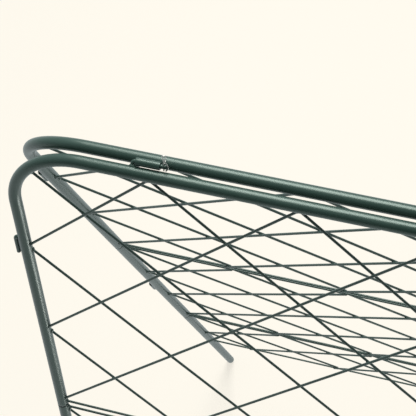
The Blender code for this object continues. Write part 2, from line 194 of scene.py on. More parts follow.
room = bpy.data.worlds.new("room")
room.use_nodes = True
bpy.context.scene.world = room
room_nodes, room_links = room.node_tree.nodes, room.node_tree.links
way = room_nodes.new("ShaderNodeTexCoord")
facing = room_nodes.new("ShaderNodeVectorMath")
facing.operation = "DOT_PRODUCT"
facing.inputs[1].default_value = PALE_SIDE
shade = room_nodes.new("ShaderNodeMapRange")
shade.inputs["From Min"].default_value = -SHADE_REACH
shade.inputs["From Max"].default_value = SHADE_REACH
tone = room_nodes.new("ShaderNodeMix")
tone.data_type = "RGBA"
tone.inputs[6].default_value = ROOM_FRONT
tone.inputs[7].default_value = ROOM_BACK
room_links.new(way.outputs["Generated"], facing.inputs[0])
room_links.new(facing.outputs["Value"], shade.inputs["Value"])
room_links.new(shade.outputs["Result"], tone.inputs[0])
room_links.new(tone.outputs[2], room_nodes["Background"].inputs["Color"])

floor_mesh = bpy.data.meshes.new("floor")
half = FLOOR_SIZE / 2
floor_corners = [(-half, -half, 0.0), (half, -half, 0.0), (half, half, 0.0), (-half, half, 0.0)]
floor_mesh.from_pydata(floor_corners, [], [(0, 1, 2, 3)])
floor = bpy.data.objects.new("floor", floor_mesh)
bpy.context.scene.collection.objects.link(floor)

# To the camera the floor is three parts its own white and one part lit, so that it keeps the shadow.
# A mirror sees the white alone.
paper = Finish("pale_floor", Roughness=1.0, Specular_IOR_Level=0.0, Base_Color=CREAM)
paths = paper.tree.nodes.new("ShaderNodeLightPath")
seen = Signal(paper, paths.outputs["Is Camera Ray"])
mirrored = Signal(paper, paths.outputs["Is Glossy Ray"])
through = Signal(paper, paths.outputs["Is Transmission Ray"])
white = paper.mix(mirrored, CREAM, COOL_WHITE)
glow = paper.node("ShaderNodeEmission", {}, {"Color": white, "Strength": 1.0})
share = ((seen + through) * WHITE_SHARE + mirrored).clamp()
blend = paper.node("ShaderNodeMixShader", {}, {0: share, 2: glow})
paper.tree.links.new(paper.shader.outputs["BSDF"], blend.socket.node.inputs[1])
paper.tree.links.new(blend.socket, paper.tree.nodes["Material Output"].inputs["Surface"])
floor_mesh.materials.append(paper.material)


def add_soft_box(name, spot, aim, size, watts, spread):
    """A flat lamp of a width and height at a spot, turned to face a point and narrowed to a spread."""
    lamp = bpy.data.lights.new(name, "AREA")
    lamp.shape = "RECTANGLE"
    lamp.size, lamp.size_y = size
    lamp.energy = watts
    lamp.color = LAMP_WHITE
    lamp.spread = math.radians(spread)
    box = bpy.data.objects.new(name, lamp)
    bpy.context.scene.collection.objects.link(box)
    box.location = spot
    box.rotation_euler = (Vector(spot) - Vector(aim)).to_track_quat("Z", "Y").to_euler()
    box.visible_camera = False


add_soft_box("soft_box", SOFT_BOX_SPOT, SOFT_BOX_AIM, SOFT_BOX_SIZE, SOFT_BOX_WATTS, SOFT_BOX_SPREAD)
add_soft_box("low_box", LOW_BOX_SPOT, LOW_BOX_AIM, LOW_BOX_SIZE, LOW_BOX_WATTS, LOW_BOX_SPREAD)


# The powder coat: polyester powder baked on steel. It is a deep green with a low gloss, slightly
# mottled, with the fine ripple of baked powder. It is chipped to the steel where pieces rub, and
# painted shade darkens and dulls it in the joint grooves. A scale is the noise's cells in a metre,
# and heights are in metres.
PAINT_GREEN = (0.0205, 0.0445, 0.0350, 1.0)
PAINT_LIGHT = (0.030, 0.056, 0.046, 1.0)
WIRE_GREEN = (0.030, 0.050, 0.043, 1.0)
WIRE_LIGHT = (0.038, 0.061, 0.054, 1.0)
SPECULAR_GREEN = (0.84, 1.0, 0.91, 1.0)
BARE_STEEL = (0.42, 0.41, 0.39, 1.0)
SCALE_DARK = (0.010, 0.010, 0.009, 1.0)
SCALE_RUST = (0.045, 0.026, 0.016, 1.0)
# The dark colour of the painted shade in the joint grooves.
GROOVE_SHADE_DARK = (0.007, 0.007, 0.006, 1.0)
TUBE_GLOSS = 0.34
WIRE_GLOSS = 0.38
CLOUD_SCALE = 9.0
CLOUD_EDGE = (0.32, 0.68)
CLOUD_SHARE = 0.75
SPECK_SCALE = 620.0
SPECK_EDGE = (0.60, 0.72)
SPECK_SHARE = 0.18
RIPPLE_SCALE = 480.0
RIPPLE_HEIGHT = 0.00012
GRAIN_SCALE = 2600.0
GRAIN_HEIGHT = 0.00004
CHIP_SCALE = 900.0
CHIP_EDGE = (0.52, 0.60)
CHIP_DEPTH = 0.00008
# The painted shade in the grooves is broken up by noise of this scale, and it roughens the coat.
GROOVE_SHADE_SCALE = 200.0
GROOVE_SHADE_DULLNESS = 0.60
RUST_SCALE = 260.0
RUST_EDGE = (0.56, 0.80)
RUST_HEIGHT = 0.00006


def powder_coat(name, deep, light, gloss):
    """Green powder coat, rubbed off and darkened by painted shade where the mesh marks it."""
    coat = Finish(name, Specular_IOR_Level=0.50, Specular_Tint=SPECULAR_GREEN)
    cloud = coat.noise(CLOUD_SCALE, 4.0).ramp(*CLOUD_EDGE)
    speck = coat.noise(SPECK_SCALE, 2.0).ramp(*SPECK_EDGE)
    grain = coat.noise(GRAIN_SCALE, 2.0)
    ripple = coat.noise(RIPPLE_SCALE, 1.5)
    chip = (coat.mark("wear") + (coat.noise(CHIP_SCALE, 4.0) - 0.5) * 0.9).ramp(*CHIP_EDGE)
    green = coat.mix(cloud * CLOUD_SHARE + speck * SPECK_SHARE, deep, light)
    # Painted shade in the joint grooves, where the mesh marks it, broken up by noise.
    groove_shade = (coat.mark("groove_shade") * (0.6 + coat.noise(GROOVE_SHADE_SCALE, 2.0) * 0.6)).clamp()
    coat.feed("Base Color", coat.mix(groove_shade, coat.mix(chip, green, BARE_STEEL), GROOVE_SHADE_DARK))
    rough = gloss + (cloud - 0.5) * 0.05 + (grain - 0.5) * 0.06
    coat.feed("Roughness", (rough + chip * 0.06 + groove_shade * GROOVE_SHADE_DULLNESS).clamp())
    coat.feed("Metallic", chip)
    relief = coat.bump(ripple, RIPPLE_HEIGHT, 0.05)
    relief = coat.bump(grain, GRAIN_HEIGHT, 0.05, relief)
    coat.feed("Normal", coat.bump(1.0 - chip, CHIP_DEPTH, 0.5, relief))
    return coat.material


def mill_scale(name):
    """The dull dark skin of a tube's bore, which the powder doesn't reach, with a little rust bloom."""
    scale = Finish(name, Specular_IOR_Level=0.08)
    bloom = scale.noise(RUST_SCALE, 5.0).ramp(*RUST_EDGE)
    scale.feed("Base Color", scale.mix(bloom * 0.6, SCALE_DARK, SCALE_RUST))
    scale.feed("Roughness", 0.86 + bloom * 0.12)
    scale.feed("Normal", scale.bump(bloom, RUST_HEIGHT, 0.4))
    return scale.material


tube_paint = powder_coat("green_tube_paint", PAINT_GREEN, PAINT_LIGHT, TUBE_GLOSS)
wire_paint = powder_coat("green_wire_paint", WIRE_GREEN, WIRE_LIGHT, WIRE_GLOSS)
bare_bore = mill_scale("bare_bore")


# The hoop: one length of 16 mm steel tube that runs up a leg, round a 98 mm corner, along the top
# bar, round again and down. It is bent on a former, which flattens the tube a bit in each corner.
TUBE_RADIUS = 0.008
TUBE_WALL = 0.0011
BORE_RADIUS = TUBE_RADIUS - TUBE_WALL
RIM_ROUND = 0.0003
BEND_RADIUS = 0.098
MESH_PITCH = 0.180
HALF_WIDTH = 2.5 * MESH_PITCH
PLANE_Y = -0.0082
BAR_Z = -0.0115
UPPER_JOINT = 0.558
LOWER_JOINT = 1.118
FOOT_CENTRE = 1.657
TUBE_SIDES = 56
CORNER_STEPS = 26
BEND_FLATTENING = 0.035
RIM_RINGS = (0.0, RIM_ROUND, 0.004, 0.012)
# Painted shade at the hoop's two rims, in the grooves where the legs meet it.
RIM_GROOVE_SHADE = -1.0


def carry(points, across, normal, wide, deep, sides):
    """A ring at each point of a path: the point plus wide cos(a) across plus deep sin(a) normal."""
    angle = np.linspace(0.0, 2.0 * np.pi, sides, endpoint=False)
    wide = np.broadcast_to(wide, len(points))[:, None, None]
    deep = np.broadcast_to(deep, len(points))[:, None, None]
    spoke = wide * np.cos(angle)[None, :, None] * across[:, None, :]
    rise = deep * np.sin(angle)[None, :, None] * np.broadcast_to(normal, across.shape)[:, None, :]
    return points[:, None, :] + spoke + rise


def skin(rings, looped=False):
    """Points and faces of a skin over rings: looped joins the last ring to the first, and otherwise a
    middle point closes each end."""
    count, sides = rings.shape[:2]
    corner = np.arange(count * sides).reshape(count, sides)
    after = np.roll(corner, -1, axis=1)
    low, high = (corner, np.roll(corner, -1, axis=0)) if looped else (corner[:-1], corner[1:])
    low_after, high_after = (after, np.roll(after, -1, axis=0)) if looped else (after[:-1], after[1:])
    quads = np.stack([low, low_after, high_after, high], axis=-1).reshape(-1, 4)
    points = rings.reshape(-1, 3)
    if looped:
        return points, quads.tolist()
    poles = np.stack([rings[0].mean(axis=0), rings[-1].mean(axis=0)])
    first = np.stack([np.full(sides, count * sides), after[0], corner[0]], axis=-1)
    last = np.stack([np.full(sides, count * sides + 1), corner[-1], after[-1]], axis=-1)
    return np.concatenate([points, poles]), quads.tolist() + first.tolist() + last.tolist()


def new_piece(name, shells, finish, side, section, replaced):
    """One object from closed shells of (points, faces, marks, inside), put in its place on its body.

    Marks above 0 are rubbed coat and below 0 painted shade in a joint groove. Points that lie inside a
    tube take the bare finish.
    """
    points, faces, wear, inside = [], [], [], []
    start = 0
    for shell_points, shell_faces, shell_wear_and_shade, shell_inside in shells:
        count = len(shell_points)
        points.append(into_place(shell_points, side))
        faces.extend([[corner + start for corner in face] for face in shell_faces])
        wear.append(np.broadcast_to(shell_wear_and_shade, count))
        inside.append(np.broadcast_to(shell_inside, count))
        start += count
    mesh = bpy.data.meshes.new(name)
    mesh.from_pydata(np.concatenate(points).tolist(), [], faces)
    wear_and_shade_marks = np.concatenate(wear)
    # Rubbed coat goes into one mark, and painted shade into the other.
    for mark, values in (("wear", np.maximum(wear_and_shade_marks, 0.0)), ("groove_shade", np.maximum(-wear_and_shade_marks, 0.0))):
        layer = mesh.attributes.new(mark, "FLOAT", "POINT")
        layer.data.foreach_set("value", values.astype(np.float32))
    mesh.shade_smooth()
    mesh.materials.append(finish)
    hidden = np.concatenate(inside) > 0.5
    if hidden.any():
        mesh.materials.append(bare_bore)
        mesh.polygons.foreach_set("material_index", [int(hidden[face].all()) for face in faces])
    piece = bpy.data.objects.new(name, mesh)
    bpy.context.scene.collection.objects.link(piece)
    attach(piece, f"{side}_{section}")
    if replaced:
        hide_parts(replaced)
    return piece


def hoop_path():
    """The hoop's centre line, its inward direction and how hard it is bent at each point, 0 to 1.

    A corner's centre line is (-inner - r cos t, r (sin t - 1)) for t from 0 on the leg to 90 degrees.
    """
    inner = HALF_WIDTH - BEND_RADIUS
    turn = np.linspace(0.0, np.pi / 2, CORNER_STEPS)
    left = np.stack([-inner - BEND_RADIUS * np.cos(turn), BEND_RADIUS * (np.sin(turn) - 1)], axis=-1)
    right = left[::-1] * (-1, 1)
    rise = np.array(RIM_RINGS) - UPPER_JOINT
    leg = np.stack([np.full(len(rise), -HALF_WIDTH), rise], axis=-1)
    flat = np.concatenate([leg, left, right, leg[::-1] * (-1, 1)])
    slope = np.concatenate([np.full(len(rise), 0.0), turn, turn[::-1], np.full(len(rise), 0.0)])
    mirrored = np.repeat([-1.0, 1.0], len(rise) + CORNER_STEPS)
    points = np.stack([flat[:, 0], np.full(len(flat), PLANE_Y), flat[:, 1] + BAR_Z], axis=-1)
    inward = np.stack([-mirrored * np.cos(slope), np.zeros(len(flat)), -np.sin(slope)], axis=-1)
    return points, inward, np.sin(2.0 * slope)


for side in SIDES:
    points, inward, bend = hoop_path()
    normal = np.array([0.0, 1.0, 0.0])
    outer = np.full(len(points), TUBE_RADIUS)
    outer[[0, -1]] -= RIM_ROUND
    squeeze = 1.0 - BEND_FLATTENING * bend
    shell = carry(points, inward, normal, outer * squeeze, outer, TUBE_SIDES)
    bore = carry(points, inward, normal, BORE_RADIUS * squeeze, BORE_RADIUS, TUBE_SIDES)
    rings = np.concatenate([shell, bore[::-1]])
    hoop_points, hoop_faces = skin(rings, looped=True)
    rub_and_shade = np.zeros((len(rings), TUBE_SIDES))
    # Painted shade on the outer skin's first and last rings, the rims over the leg joints.
    rub_and_shade[[0, len(shell) - 1]] = RIM_GROOVE_SHADE
    hidden = np.repeat(np.arange(len(rings)) >= len(shell), TUBE_SIDES).astype(float)
    shells = [(hoop_points, hoop_faces, rub_and_shade.ravel(), hidden)]
    name = f"{side}_bent_hoop"
    new_piece(name, shells, tube_paint, side, "top", f"{side}_hoop")


# The four straight leg tubes of a panel: their upper ends are swaged narrower over 40 mm and push up
# into the tube above. The coat is scuffed where this spigot slides, most at its end, and painted
# shade darkens its shoulder, in the groove under the rim of the tube above.
SPIGOT_RADIUS = 0.006467
SPIGOT_LENGTH = 0.040
SPIGOT_ROUND = 0.0006
SPIGOT_RINGS = np.linspace(0.002, SPIGOT_LENGTH - 0.001, 9)
SPIGOT_RUB = 0.38
SPIGOT_END_RUB = 0.20
SHOULDER_GAP = 0.0003
SHOULDER_LENGTH = 0.0024
SHOULDER_EDGE = 0.0002
# Painted shade at the shoulder, down to this depth below it.
SHOULDER_GROOVE_SHADE = -0.85
GROOVE_SHADE_DEPTH = 0.0026
SWAGE_LENGTH = 0.004
SWAGE_STEPS = 9
RING_OVER_RIM = 0.004
RINGS_UNDER_SHOULDER = (-0.012, -0.005)
ROUND_STEPS = 5
BORE_POINTS = 4


def turn_outline(outline, sides):
    """Rings of a body turned about Z: every (radius, height) of an outline goes once round."""
    outline = np.asarray(outline, float)
    centre = np.zeros((len(outline), 3))
    centre[:, 2] = outline[:, 1]
    across = np.broadcast_to((1.0, 0.0, 0.0), centre.shape)
    return carry(centre, across, (0.0, 1.0, 0.0), outline[:, 0], outline[:, 0], sides)


def quarter(centre_radius, centre_height, size, start, end):
    """Points of a small round between two angles, as (radius, height): centre plus size (cos, sin)."""
    angle = np.radians(np.linspace(start, end, ROUND_STEPS))
    return [(centre_radius + size * np.cos(a), centre_height + size * np.sin(a)) for a in angle]


def leg_outline(length):
    """The leg's outline from its lower rim up outside, over the spigot and down inside.

    The swage starts with a quarter of an ellipse, half as deep as the whole step in to the spigot.
    The last points, BORE_POINTS of them, are the bore.
    """
    drop = (TUBE_RADIUS - SPIGOT_RADIUS) / 2
    shoulder = -SHOULDER_GAP
    outline = quarter(TUBE_RADIUS - RIM_ROUND, RIM_ROUND - length, RIM_ROUND, -90, 0)
    outline += [(TUBE_RADIUS, height) for height in (RING_OVER_RIM - length, *RINGS_UNDER_SHOULDER)]
    for angle in np.radians(np.linspace(0, 90, SWAGE_STEPS)):
        height = shoulder - SHOULDER_LENGTH * (1 - np.sin(angle))
        outline.append((TUBE_RADIUS - drop * (1 - np.cos(angle)), height))
    outline += [(SPIGOT_RADIUS + SHOULDER_EDGE, shoulder), (SPIGOT_RADIUS, shoulder + SHOULDER_EDGE)]
    outline += [(SPIGOT_RADIUS, height) for height in SPIGOT_RINGS]
    outline += quarter(SPIGOT_RADIUS - SPIGOT_ROUND, SPIGOT_LENGTH - SPIGOT_ROUND, SPIGOT_ROUND, 0, 90)
    bore = SPIGOT_RADIUS - TUBE_WALL
    outline += [(bore, SPIGOT_LENGTH), (bore, shoulder)]
    outline += [(BORE_RADIUS, shoulder - SWAGE_LENGTH), (BORE_RADIUS, -length)]
    return np.array(outline)


def leg_shell(outline, x, depth):
    """A leg's closed shell with its marks, moved to its place in the panel."""
    rings = turn_outline(outline, TUBE_SIDES) + (x, PLANE_Y, BAR_Z - depth)
    points, faces = skin(rings, looped=True)
    height = outline[:, 1]
    slid = SPIGOT_RUB + SPIGOT_END_RUB * np.clip(height / SPIGOT_LENGTH, 0, 1) ** 2
    rub_and_shade = np.where(height > 0.0, slid, 0.0)
    # Painted shade just under the shoulder, in the groove below the rim above.
    rub_and_shade = np.where((height < 0.0) & (height > -GROOVE_SHADE_DEPTH), SHOULDER_GROOVE_SHADE, rub_and_shade)
    rub_and_shade[-BORE_POINTS:] = 0.0
    inside = np.zeros(len(outline))
    inside[-BORE_POINTS:] = 1.0
    return (points, faces, np.repeat(rub_and_shade, TUBE_SIDES), np.repeat(inside, TUBE_SIDES))


for side in SIDES:
    for hand, x in (("left", -HALF_WIDTH), ("right", HALF_WIDTH)):
        middle = leg_outline(LOWER_JOINT - UPPER_JOINT)
        node = f"{side}_middle_leg_{hand}"
        shells = [leg_shell(middle, x, UPPER_JOINT)]
        new_piece(f"{side}_middle_tube_{hand}", shells, tube_paint, side, "middle", node)
        bottom = leg_outline(FOOT_CENTRE - LOWER_JOINT - SHOULDER_GAP)
        node = f"{side}_bottom_leg_{hand}"
        shells = [leg_shell(bottom, x, LOWER_JOINT)]
        new_piece(f"{side}_bottom_tube_{hand}", shells, tube_paint, side, "bottom", node)


# The feet: a domed steel cap closes the lower end of each bottom leg. Its shank is pressed into the
# tube and only the dome shows, coated with the tube and worn where it stands on the ground.
FOOT_SHANK = 0.014
FOOT_INSET = 0.00005
FOOT_LEDGE = 0.0001
SHANK_CHAMFER = 0.0006
DOME_RINGS = 22
FOOT_RUB = 0.44


def foot_outline():
    """The cap's outline from near its lowest point up over the dome, in and up the shank."""
    dome = np.radians(np.linspace(4, 88, DOME_RINGS))
    outline = [(TUBE_RADIUS * np.sin(a), -TUBE_RADIUS * np.cos(a)) for a in dome]
    outline += [(TUBE_RADIUS - FOOT_INSET, 0.0)]
    outline += [(TUBE_RADIUS - RIM_ROUND, FOOT_LEDGE), (SPIGOT_RADIUS, FOOT_LEDGE)]
    outline += [(SPIGOT_RADIUS, FOOT_SHANK - SHANK_CHAMFER), (SPIGOT_RADIUS - SHANK_CHAMFER, FOOT_SHANK)]
    return np.array(outline)


for side in SIDES:
    outline = foot_outline()
    for hand, x in (("left", -HALF_WIDTH), ("right", HALF_WIDTH)):
        rings = turn_outline(outline, TUBE_SIDES)
        points, faces = skin(rings)
        points[-2] = (0.0, 0.0, -TUBE_RADIUS)
        steep = np.clip(-points[:, 2] / TUBE_RADIUS, 0.0, 1.0) ** 6
        shells = [(points + (x, PLANE_Y, BAR_Z - FOOT_CENTRE), faces, FOOT_RUB * steep, 0.0)]
        name = f"{side}_domed_foot_{hand}"
        new_piece(name, shells, tube_paint, side, "bottom", f"{side}_foot_{hand}")


# The nets: 3.5 mm steel wires in two slanted layers, rising ones in front and falling ones behind, with
# straight cross wires between. They are pressed and spot welded at every crossing. A net is a section,
# its rows of diamonds, how far below the bar it starts, and whether it hangs in the hoop.
WIRE_RADIUS = 0.00175
LAYER = 0.00155
WIRE_SIDES = 18
WIRE_STATIONS = 24
ACROSS = 5
EDGE_DROP = 0.003
CUT_ROUND = 0.0004
CUT_STEPS = 5
WELD_SINK = 0.0003
LUMP_RINGS = 9
LUMP_SIDES = 16
BEADS = {
    "leg": (0.0024, 0.0032, 0.0042),
    "bar": (0.0033, 0.0026, 0.0020),
    "corner": (0.0028, 0.0026, 0.0028),
    "wire": (0.0020, 0.0011, 0.0019),
    "crossing": (0.0021, 0.0009, 0.0020),
}
NET_SECTIONS = (
    ("top", 3.0, 0.008, True),
    ("middle", 3.0, 0.568, False),
    ("bottom", 1.5, 1.128, False),
)


def rod(points, normal, radius, sides, cut=CUT_ROUND):
    """A round rod along a flat path: both ends are rounded off by a quarter circle of the cut's size."""
    points = np.asarray(points, float)
    reach = np.concatenate([[0.0], np.cumsum(np.linalg.norm(np.diff(points, axis=0), axis=1))])
    turn = np.radians(np.linspace(0, 90, CUT_STEPS))
    edge = cut * (1.0 - np.cos(turn))
    middle = reach[(reach > 1.5 * cut) & (reach < reach[-1] - 1.5 * cut)]
    steps = np.concatenate([edge, middle, reach[-1] - edge[::-1]])
    path = np.stack([np.interp(steps, reach, points[:, i]) for i in range(3)], axis=-1)
    full = np.full(len(middle), radius)
    taper = radius - cut + cut * np.sin(turn)
    width = np.concatenate([taper, full, taper[::-1]])
    way = np.gradient(path, axis=0)
    way[:CUT_STEPS] = path[CUT_STEPS] - path[0]
    way[-CUT_STEPS:] = path[-1] - path[-CUT_STEPS - 1]
    way /= np.linalg.norm(way, axis=1, keepdims=True)
    normal = np.broadcast_to(normal, way.shape)
    return skin(carry(path, np.cross(normal, way), normal[0], width, width, sides))


def lump(centre, along_x, along_y, along_z, phase):
    """An uneven round lump: an ellipsoid whose radius swells by low waves round and up it.

    The phase shifts the waves. It comes from the lump's place, so that hardly two are alike.
    """
    tall = np.linspace(-np.pi / 2, np.pi / 2, LUMP_RINGS + 2)[1:-1, None]
    turn = np.linspace(0.0, 2.0 * np.pi, LUMP_SIDES, endpoint=False)[None, :]
    waves_round = 0.07 * np.sin(3 * turn + phase) * np.cos(tall)
    waves_up = 0.06 * np.sin(2 * tall + 2 * turn - phase)
    swell = 1.0 + waves_round + waves_up
    x = swell * np.cos(tall) * np.cos(turn) * along_x
    y = swell * np.cos(tall) * np.sin(turn) * along_y
    z = swell * np.sin(tall) * along_z + 0.0 * turn
    points, faces = skin(np.stack([x, y, z], axis=-1) + np.asarray(centre, float))
    points[-2:] = np.asarray(centre) + np.array([[0, 0, -along_z], [0, 0, along_z]])
    return points, faces, 0.0, 0.0


def layer_lines(rows, rising):
    """Both ends of each slanted wire as (u, v), in pitches from the left leg and from the net's top.

    Along a rising wire u + v stays the same, and along a falling one u - v.
    """
    lines = []
    if rising:
        for line in range(1, math.ceil(ACROSS + rows)):
            low, high = max(0.0, line - rows), min(line, ACROSS)
            lines.append(((low, line - low), (high, line - high)))
    else:
        for line in range(1 - math.ceil(rows), ACROSS):
            low, high = max(0.0, line), min(line + rows, ACROSS)
            lines.append(((low, low - line), (high, high - line)))
    return lines


def corner_end(start, way, corner_x):
    """Where a wire from start meets the inner side of a hoop corner, a circle.

    It is the middle of the chord that the wire cuts, less the root of reach^2 - offset^2 + middle^2.
    """
    offset = start[[0, 2]] - (corner_x, BAR_Z - BEND_RADIUS)
    middle = -(offset @ way[[0, 2]])
    reach = BEND_RADIUS - TUBE_RADIUS + WELD_SINK
    return start + (middle - math.sqrt(reach**2 - offset @ offset + middle**2)) * way


def trimmed(line, rows, start_depth, layer, in_hoop):
    """A slanted wire cut to what it is welded to, with the place and kind of the weld at each end.

    It stops at the surface of a leg, the bar or a corner, or a little past the middle of a cross wire.
    """
    corners = np.array([[u * MESH_PITCH - HALF_WIDTH, PLANE_Y + layer, 0.0] for u, _ in line])
    corners[:, 2] = [BAR_Z - start_depth - v * MESH_PITCH for _, v in line]
    ends = []
    for (u, v), here, there in zip(line, corners, corners[::-1]):
        way = (there - here) / np.linalg.norm(there - here)
        if v == 0 and in_hoop and u in (0, ACROSS):
            corner_x = math.copysign(HALF_WIDTH - BEND_RADIUS, u - 1)
            ends.append((corner_end(here, way, corner_x), "corner"))
        elif u in (0, ACROSS):
            ends.append((here + way * (TUBE_RADIUS - WELD_SINK) / abs(way[0]), "leg"))
        elif v == 0 and in_hoop:
            ends.append((here - way * WELD_SINK / abs(way[2]), "bar"))
        else:
            ends.append((here - way * (EDGE_DROP + WIRE_RADIUS / 2) / abs(way[2]), "wire"))
    return ends


for section, rows, start_depth, in_hoop in NET_SECTIONS:
    wires, welds = [], []
    front, behind = layer_lines(rows, True), layer_lines(rows, False)
    for lines, layer in ((front, -LAYER), (behind, LAYER)):
        for line in lines:
            (start, start_kind), (end, end_kind) = trimmed(line, rows, start_depth, layer, in_hoop)
            run = start + np.linspace(0.0, 1.0, WIRE_STATIONS)[:, None] * (end - start)
            wires.append((*rod(run, (0.0, 1.0, 0.0), WIRE_RADIUS, WIRE_SIDES), 0.0, 0.0))
            for spot, kind in ((start, start_kind), (end, end_kind)):
                phase = 37.0 * spot[0] + 91.0 * spot[2]
                if kind == "wire":
                    back = np.sign(spot[2] - (start + end)[2] / 2) * WIRE_RADIUS / 2
                    spot = (spot[0], PLANE_Y + layer / 2, spot[2] - back)
                welds.append(lump(spot, *BEADS[kind], phase))

    depths = [start_depth + rows * MESH_PITCH + EDGE_DROP]
    if not in_hoop:
        depths.append(start_depth - EDGE_DROP)
    for depth in depths:
        reach = HALF_WIDTH - TUBE_RADIUS + WELD_SINK
        run = np.zeros((WIRE_STATIONS, 3)) + (0.0, PLANE_Y, BAR_Z - depth)
        run[:, 0] = np.linspace(-reach, reach, WIRE_STATIONS)
        wires.append((*rod(run, (0.0, 1.0, 0.0), WIRE_RADIUS, WIRE_SIDES), 0.0, 0.0))
        for spot in (run[0], run[-1]):
            welds.append(lump(spot, *BEADS["leg"], 53.0 * depth))

    # A rising wire, u + v, and a falling one, u - v, are welded where they cross.
    for (rising_u, rising_v), _ in front:
        for (falling_u, falling_v), _ in behind:
            total, difference = rising_u + rising_v, falling_u - falling_v
            u, v = (total + difference) / 2, (total - difference) / 2
            if 0 < u < ACROSS and 0 < v < rows:
                spot = (u * MESH_PITCH - HALF_WIDTH, PLANE_Y, BAR_Z - start_depth - v * MESH_PITCH)
                welds.append(lump(spot, *BEADS["crossing"], 5.0 * u + 3.0 * v))

    for side in SIDES:
        node = f"{side}_{section}_net"
        new_piece(f"{side}_{section}_wires", wires, wire_paint, side, section, node)
        new_piece(f"{side}_{section}_welds", welds, wire_paint, side, section, None)


# The hinge sleeves: a short piece of thick tube on the hinge line, one on each top bar. It stands on
# a fillet weld as long as most of the sleeve, whose flanks are drawn in and rippled.
HINGE_X = HALF_WIDTH - MESH_PITCH
SLEEVE_RADIUS = 0.005
SLEEVE_BORE = 0.002957
SLEEVE_LENGTH = 0.030
SLEEVE_SIDES = 44
RING_FROM_END = 0.003
BORE_RING_FROM_END = 0.002
RIM_BAND = 0.0004
RIM_RUB = 0.42
FILLET_LENGTH = 0.022
FILLET_STATIONS = 61
FILLET_LEVELS = 12
FILLET_END = 0.03
FILLET_BOTTOM = 0.0026
FILLET_TOP = 0.0076
FILLET_WAIST = 0.0024
WAIST_HEIGHT = 0.0052
FLARE = 0.00115
FLARE_HEIGHT = 0.0024
FILLET_RIPPLE = 0.045
FILLET_RIPPLE_TURNS = 38.0
BAR_DISTANCE = math.hypot(PLANE_Y, BAR_Z)
TO_BAR = np.array([0.0, PLANE_Y, BAR_Z]) / BAR_DISTANCE
FROM_BAR = np.cross((1.0, 0.0, 0.0), TO_BAR)


def sleeve_outline(radius, bore, length):
    """A short tube's outline along its axis: up outside, over the rounded rim and down the bore."""
    size = RIM_ROUND
    outline = quarter(radius - size, size - length / 2, size, -90, 0)
    straight = np.linspace(RING_FROM_END - length / 2, length / 2 - RING_FROM_END, 7)
    outline += [(radius, height) for height in straight]
    outline += quarter(radius - size, length / 2 - size, size, 0, 90)
    outline += quarter(bore + size, length / 2 - size, size, 90, 180)
    outline += [(bore, length / 2 - BORE_RING_FROM_END), (bore, BORE_RING_FROM_END - length / 2)]
    outline += quarter(bore + size, size - length / 2, size, 180, 270)
    return np.array(outline)


def sleeve_marks(outline, bore, length):
    """Rub marks on a sleeve's rims, and the part of its bore that the coat doesn't reach."""
    radius, height = outline.T
    rim = np.abs(height) > length / 2 - RIM_BAND
    inside = (radius < bore + RIM_ROUND / 2) & ~rim
    return np.where(rim, RIM_RUB, 0.0), inside.astype(float)


for side in SIDES:
    outline = sleeve_outline(SLEEVE_RADIUS, SLEEVE_BORE, SLEEVE_LENGTH)
    spine = np.zeros((len(outline), 3))
    spine[:, 0] = outline[:, 1] + HINGE_X
    across = np.broadcast_to((0.0, 1.0, 0.0), spine.shape)
    rings = carry(spine, across, (0.0, 0.0, 1.0), outline[:, 0], outline[:, 0], SLEEVE_SIDES)
    rub_and_shade, inside = sleeve_marks(outline, SLEEVE_BORE, SLEEVE_LENGTH)
    shells = [(*skin(rings, looped=True), np.repeat(rub_and_shade, SLEEVE_SIDES), np.repeat(inside, SLEEVE_SIDES))]

    # The fillet: half its width is 2.4 mm at the waist and grows with the square of the way from it.
    # Its ends close like a blunt oval, the root of 1 less the 7th power of the way along.
    reach = np.linspace(-1.0, 1.0, FILLET_STATIONS)
    blunt = np.sqrt(np.clip(1.0 - np.abs(reach) ** 7, 0.0, 1.0))
    swell = blunt * (1.0 - FILLET_END) + FILLET_END
    ripple = 1.0 + FILLET_RIPPLE * np.sin(reach * FILLET_RIPPLE_TURNS)
    rise = np.linspace(FILLET_BOTTOM, FILLET_TOP, FILLET_LEVELS)
    width = FILLET_WAIST + FLARE * ((rise - WAIST_HEIGHT) / FLARE_HEIGHT) ** 2
    flank = width[None, :] * (swell * ripple)[:, None]
    station = np.array([HINGE_X, 0.0, 0.0]) + reach[:, None, None] * (FILLET_LENGTH / 2, 0.0, 0.0)
    near = station + rise[None, :, None] * TO_BAR + flank[:, :, None] * FROM_BAR
    far = station + rise[None, :, None] * TO_BAR - flank[:, :, None] * FROM_BAR
    shells.append((*skin(np.concatenate([far, near[:, ::-1]], axis=1)), 0.0, 0.0))
    name = f"{side}_hinge_barrel"
    new_piece(name, shells, tube_paint, side, "top", f"{side}_hinge_sleeve")


# The hinge pins: 5 mm rod welded square on the top bar and bent along the hinge line, so that the
# other panel's sleeve slides over it. A small hole is drilled through near its tip for the clip.
PIN_RADIUS = 0.0025
PIN_BEND = 0.0029
PIN_FREE_END = 0.007
PIN_PLAY = 0.0006
PIN_SIDES = 40
PIN_STATIONS = 120
STEM_STATIONS = 5
BEND_STATIONS = 16
PIN_CUT = 0.0006
PIN_RUB = 0.30
PIN_TIP_RUB = 0.16
RUB_START = 0.002
PIN_WELD = (0.0045, 0.0034, 0.0030)
PIN_WELD_LIFT = 0.0002
TOUCH_GAP = 0.0003
CLIP_WIRE = 0.0008
CLIP_TILT = math.radians(5.0)
CLIP_UP = np.array([0.0, math.sin(CLIP_TILT), math.cos(CLIP_TILT)])
SLEEVE_END = SLEEVE_LENGTH / 2 + TOUCH_GAP
HOLE_X = SLEEVE_END + PIN_FREE_END / 2
HOLE_SIDES = 28
DRILL_REACH = 0.006
DRILL_CUT = 0.0001
SHARP_ANGLE = math.radians(35)


